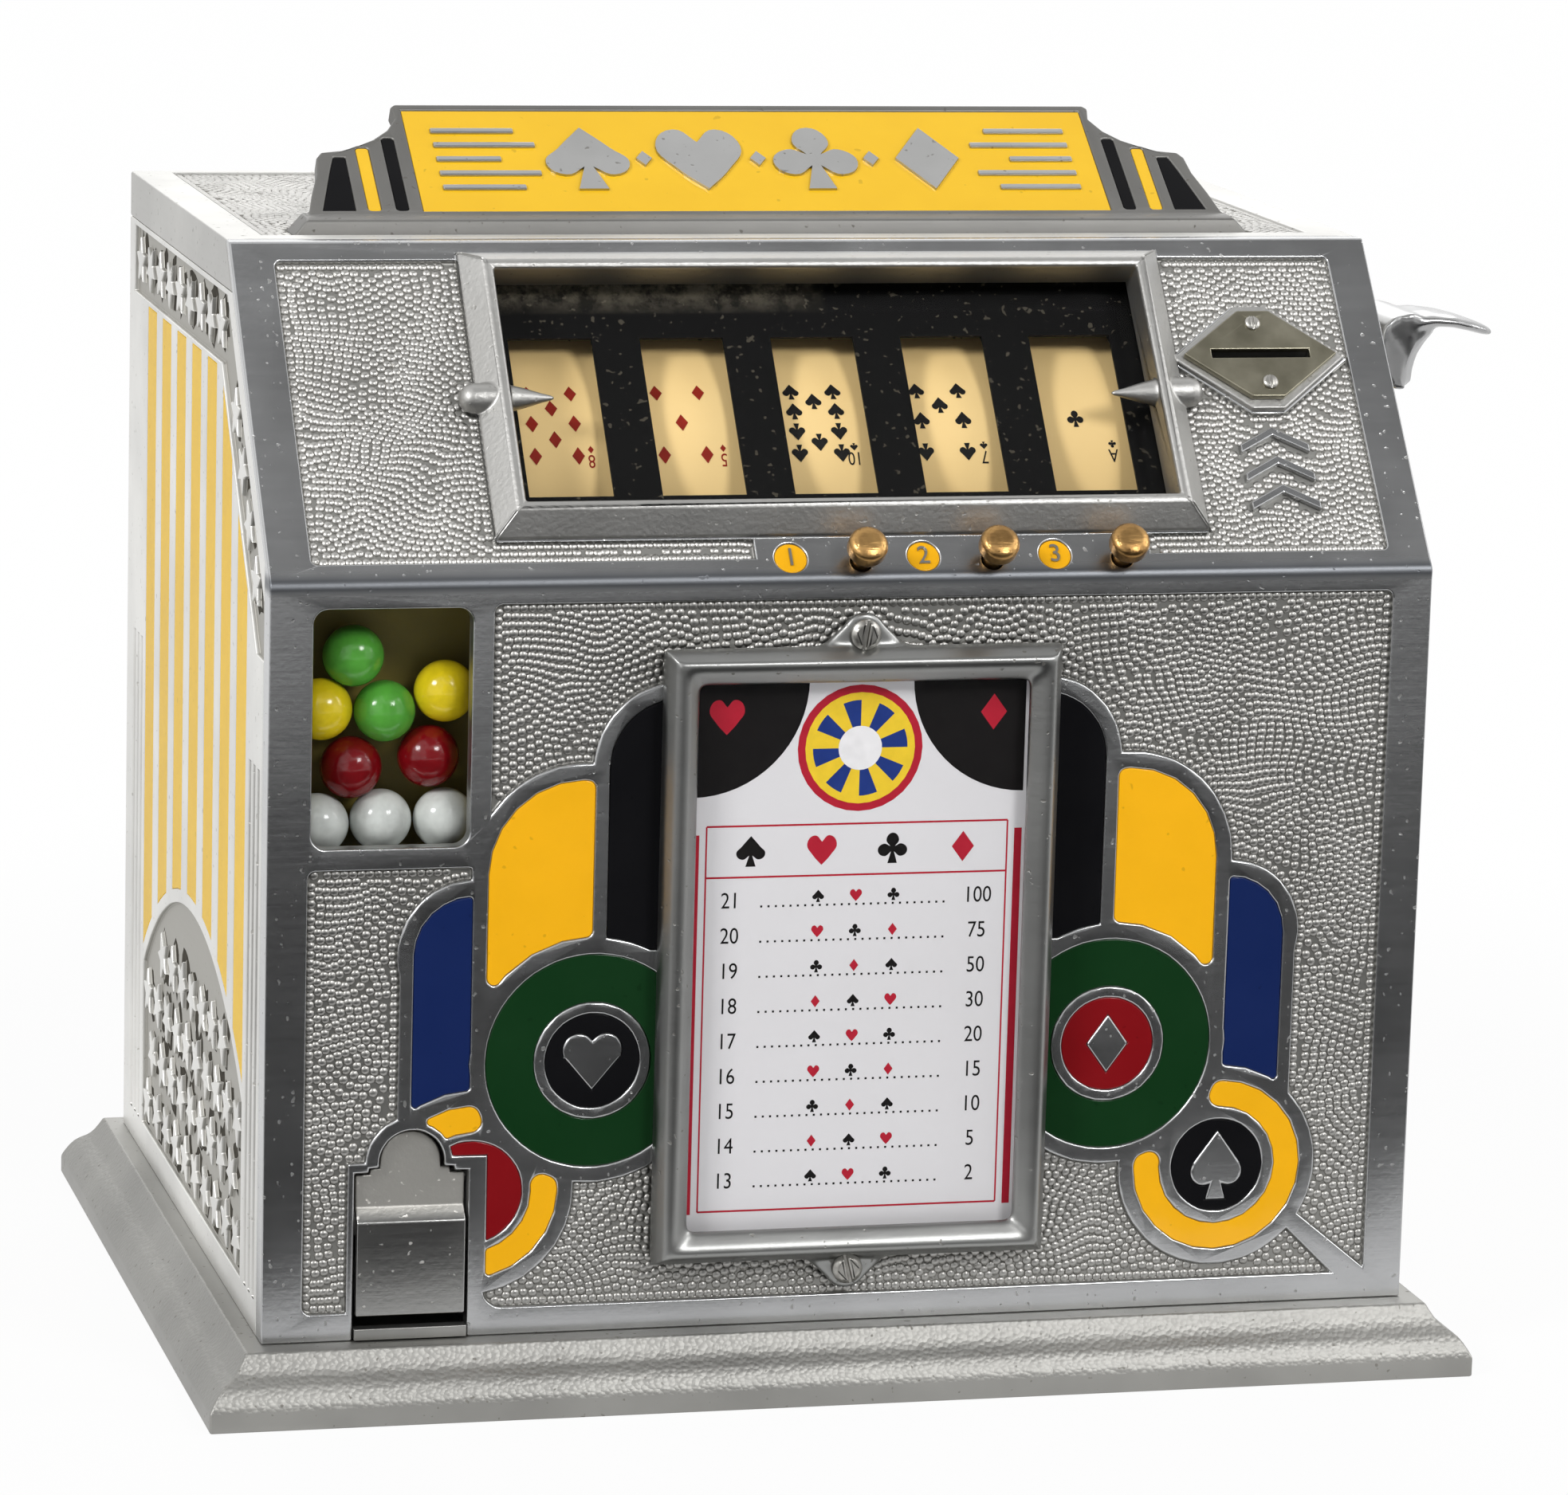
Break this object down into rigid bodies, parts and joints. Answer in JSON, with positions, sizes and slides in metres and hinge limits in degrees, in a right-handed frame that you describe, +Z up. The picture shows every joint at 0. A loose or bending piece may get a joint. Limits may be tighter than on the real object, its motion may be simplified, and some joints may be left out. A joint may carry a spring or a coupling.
{
  "type": "counter-top trade stimulator",
  "caption": "Counter-top card reel trade stimulator: cast metal cabinet with sloped reel window, side lever, shutter buttons, ball gum vender and rear service door.",
  "frame": {"origin": "middle of the flat underside that stands on the counter", "axes": "+X to the right seen from the front, +Y to the back, +Z up"},
  "size_m": [0.2857, 0.211, 0.2573],
  "materials": {
    "casting": "polished cast, worn and lightly pitted",
    "plate_steel": "dark zinc plate",
    "enamel_yellow": "glossy baked enamel",
    "enamel_black": "glossy baked enamel",
    "enamel_blue": "glossy baked enamel",
    "enamel_green": "glossy baked enamel",
    "enamel_red": "glossy baked enamel",
    "clear_glass": "clear pane",
    "printed_card": "printed score card",
    "screw_steel": "slotted steel screws",
    "coin_nickel": "worn nickel-plated brass",
    "mask_black": "dull black paint",
    "hopper_olive": "dark olive paint",
    "gum_green": "sugar shell, glossy",
    "gum_yellow": "sugar shell, glossy",
    "gum_red": "sugar shell, glossy",
    "gum_white": "sugar shell, glossy",
    "sheet_steel": "bright sheet steel",
    "door_plate": "polished, scratched",
    "reel_metal": "spun drum with a printed paper strip",
    "shaft_steel": "turned steel",
    "spring_bronze": "phosphor bronze strip",
    "frame_steel": "zinc-plated plate",
    "shutter_black": "black paint",
    "button_brass": "turned and worn",
    "wire_steel": "spring wire",
    "lever_chrome": "plated and worn",
    "lock_brass": "turned"
  },
  "bodies": {
    "cabinet": {"base_plinth": "casting", "bottom_plate": "plate_steel", "front_casting": "casting", "side_panel_left": "casting", "side_panel_right": "casting", "top_lid": "casting", "marquee": "casting", "marquee_yellow": "enamel_yellow", "marquee_black": "enamel_black", "enamel_yellow": "enamel_yellow", "enamel_black": "enamel_black", "enamel_blue": "enamel_blue", "enamel_green": "enamel_green", "enamel_red": "enamel_red", "stripes_left": "enamel_yellow", "stripes_right": "enamel_yellow", "award_frame": "casting", "award_glass": "clear_glass", "award_card": "printed_card", "award_screws": "screw_steel", "coin_plate": "coin_nickel", "coin_plate_screws": "screw_steel", "reel_glass": "clear_glass", "reel_mask": "mask_black", "gum_glass": "clear_glass", "gum_hopper": "hopper_olive", "gumballs_green": "gum_green", "gumballs_yellow": "gum_yellow", "gumballs_red": "gum_red", "gumballs_white": "gum_white", "gum_chute": "sheet_steel", "vend_door_pin": "shaft_steel", "reel_shaft": "shaft_steel", "index_springs": "spring_bronze", "mech_frame_left": "frame_steel", "mech_frame_right": "frame_steel", "button_springs": "wire_steel", "lever_spring": "wire_steel", "coin_chute": "sheet_steel", "cash_box": "plate_steel", "rear_hinge_pin": "shaft_steel", "case_screws": "screw_steel"},
    "lever": {"lever": "lever_chrome", "lever_shaft": "shaft_steel", "kick_fingers": "frame_steel"},
    "vend_door": {"vend_door": "door_plate"},
    "gum_slide": {"gum_slide": "sheet_steel"},
    "rear_door": {"rear_door": "plate_steel"},
    "door_lock": {"door_lock": "lock_brass"},
    "reel_1": {"reel_1": "reel_metal"},
    "reel_2": {"reel_2": "reel_metal"},
    "reel_3": {"reel_3": "reel_metal"},
    "reel_4": {"reel_4": "reel_metal"},
    "reel_5": {"reel_5": "reel_metal"},
    "shutter_1": {"shutter_1": "shutter_black"},
    "button_1": {"button_1": "button_brass"},
    "shutter_2": {"shutter_2": "shutter_black"},
    "button_2": {"button_2": "button_brass"},
    "shutter_3": {"shutter_3": "shutter_black"},
    "button_3": {"button_3": "button_brass"}
  },
  "joints": [
    {"name": "lever_pull", "type": "hinge", "parent": "cabinet", "child": "lever", "pos_m": [0.1285, 0.035, 0.186], "axis": [1, 0, 0], "range_deg": [0, 35], "stiffness_Nm_per_rad": 0.6, "springref_deg": -22.92, "deforming": ["lever_spring"]},
    {"name": "reel_1_spin", "type": "hinge", "parent": "cabinet", "child": "reel_1", "pos_m": [-0.056, -0.02189, 0.16928], "axis": [1, 0, 0], "continuous": true, "deforming": ["index_springs"]},
    {"name": "reel_2_spin", "type": "hinge", "parent": "cabinet", "child": "reel_2", "pos_m": [-0.028, -0.02189, 0.16928], "axis": [1, 0, 0], "continuous": true, "deforming": ["index_springs"]},
    {"name": "reel_3_spin", "type": "hinge", "parent": "cabinet", "child": "reel_3", "pos_m": [0, -0.02189, 0.16928], "axis": [1, 0, 0], "continuous": true, "deforming": ["index_springs"]},
    {"name": "reel_4_spin", "type": "hinge", "parent": "cabinet", "child": "reel_4", "pos_m": [0.028, -0.02189, 0.16928], "axis": [1, 0, 0], "continuous": true, "deforming": ["index_springs"]},
    {"name": "reel_5_spin", "type": "hinge", "parent": "cabinet", "child": "reel_5", "pos_m": [0.056, -0.02189, 0.16928], "axis": [1, 0, 0], "continuous": true, "deforming": ["index_springs"]},
    {"name": "shutter_1_swing", "type": "hinge", "parent": "cabinet", "child": "shutter_1", "pos_m": [0, -0.02189, 0.16928], "axis": [1, 0, 0], "range_deg": [0, 52]},
    {"name": "shutter_2_swing", "type": "hinge", "parent": "cabinet", "child": "shutter_2", "pos_m": [0.028, -0.02189, 0.16928], "axis": [1, 0, 0], "range_deg": [0, 52]},
    {"name": "shutter_3_swing", "type": "hinge", "parent": "cabinet", "child": "shutter_3", "pos_m": [0.056, -0.02189, 0.16928], "axis": [1, 0, 0], "range_deg": [0, 52]},
    {"name": "button_1_press", "type": "slide", "parent": "cabinet", "child": "button_1", "axis": [0, 0.7602, -0.6497], "range_m": [0, 0.003], "stiffness_N_per_m": 200, "springref_m": -0.003, "deforming": ["button_springs"]},
    {"name": "button_2_press", "type": "slide", "parent": "cabinet", "child": "button_2", "axis": [0, 0.7602, -0.6497], "range_m": [0, 0.003], "stiffness_N_per_m": 200, "springref_m": -0.003, "deforming": ["button_springs"]},
    {"name": "button_3_press", "type": "slide", "parent": "cabinet", "child": "button_3", "axis": [0, 0.7602, -0.6497], "range_m": [0, 0.003], "stiffness_N_per_m": 200, "springref_m": -0.003, "deforming": ["button_springs"]},
    {"name": "vend_door_swing", "type": "hinge", "parent": "cabinet", "child": "vend_door", "pos_m": [-0.0917, -0.0865, 0.047], "axis": [-1, 0, 0], "range_deg": [0, 40]},
    {"name": "gum_slide_stroke", "type": "slide", "parent": "cabinet", "child": "gum_slide", "axis": [0, 1, 0], "range_m": [0, 0.02]},
    {"name": "rear_door_swing", "type": "hinge", "parent": "cabinet", "child": "rear_door", "pos_m": [-0.1198, 0.0949, 0.12], "axis": [0, 0, 1], "range_deg": [0, 110]},
    {"name": "lock_turn", "type": "hinge", "parent": "rear_door", "child": "door_lock", "pos_m": [0.095, 0.0926, 0.12], "axis": [0, 1, 0], "range_deg": [0, 90]}
  ],
  "couplings": [
    {"joint": "gum_slide_stroke", "follows": "lever_pull", "m_per_rad": 0.0327}
  ]
}
